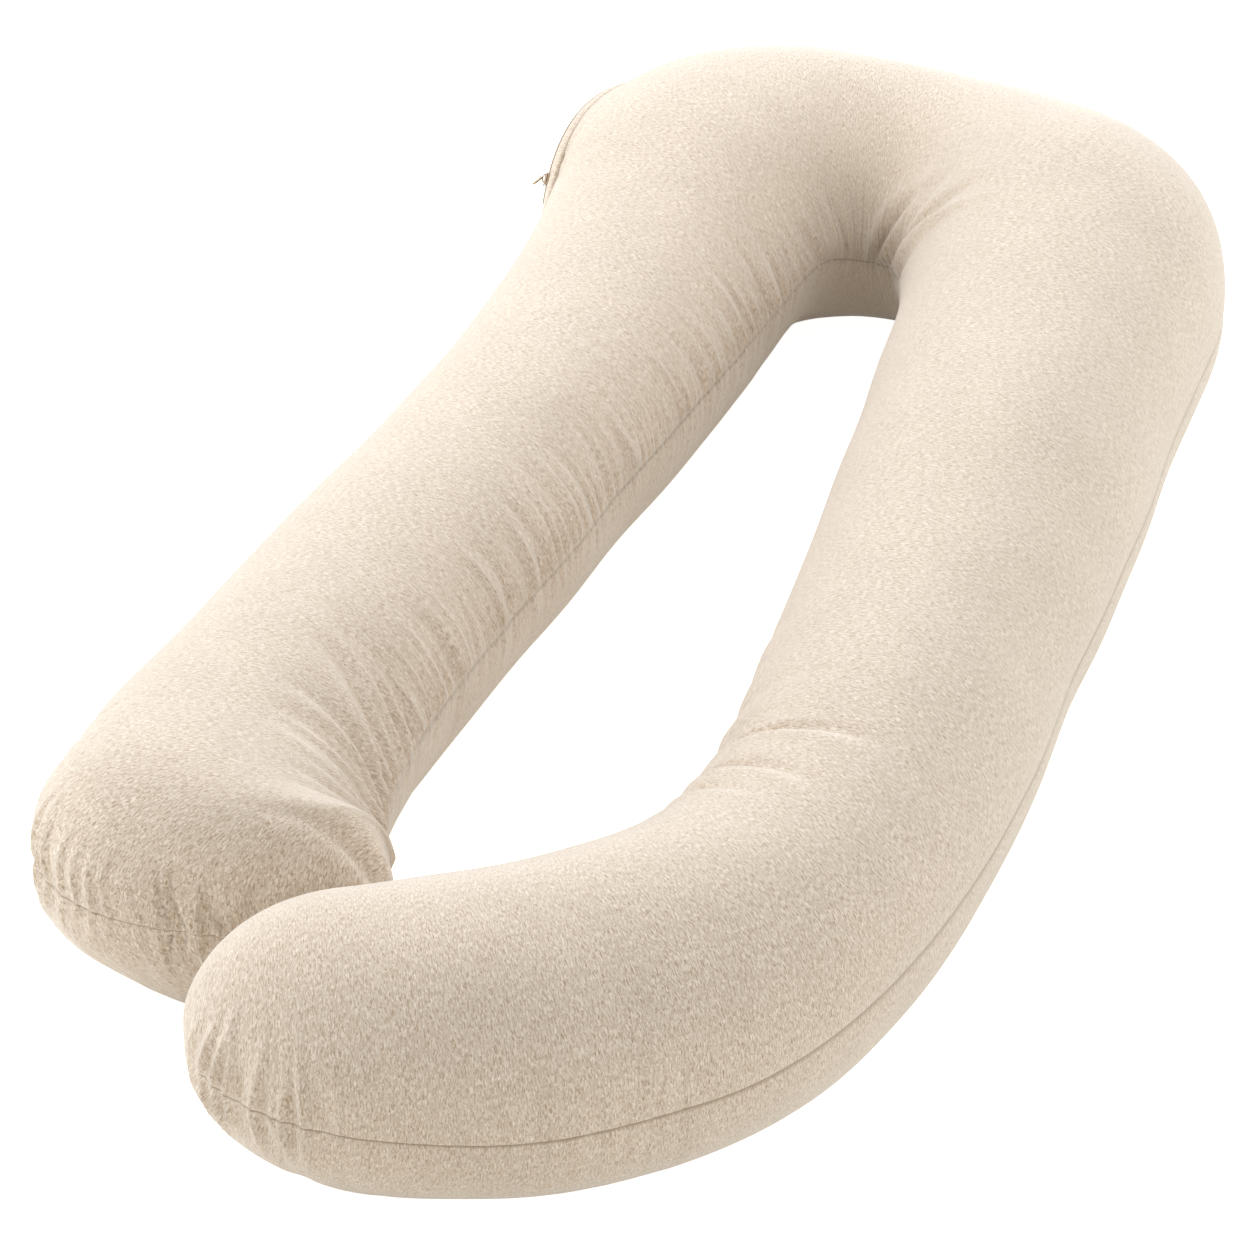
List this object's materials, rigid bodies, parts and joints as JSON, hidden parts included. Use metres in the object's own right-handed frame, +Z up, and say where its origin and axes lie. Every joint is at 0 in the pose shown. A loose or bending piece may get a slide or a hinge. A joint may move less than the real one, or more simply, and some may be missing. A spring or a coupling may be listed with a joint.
{
  "type": "pregnancy pillow",
  "caption": "Full-body pregnancy pillow: one stuffed tube bent into a long closed U, with a seam round its widest line and both ends hooked inwards.",
  "frame": {"origin": "centre of the outline in plan, on the surface that the pillow lies on", "axes": "+Z up, +Y along the arms towards the closed far end, +X from the short-footed arm towards the long-footed arm"},
  "size_m": [0.6312, 1.4228, 0.225],
  "materials": {
    "cover_jersey": "heathered oatmeal knitted jersey, brushed soft",
    "zip_tape": "woven beige tape with closed coil teeth",
    "zip_metal": "beige enamel"
  },
  "bodies": {
    "root": {"pillow": "cover_jersey", "zip_tape": "zip_tape", "zip_slider": "zip_metal", "zip_pull": "zip_metal"}
  },
  "joints": []
}
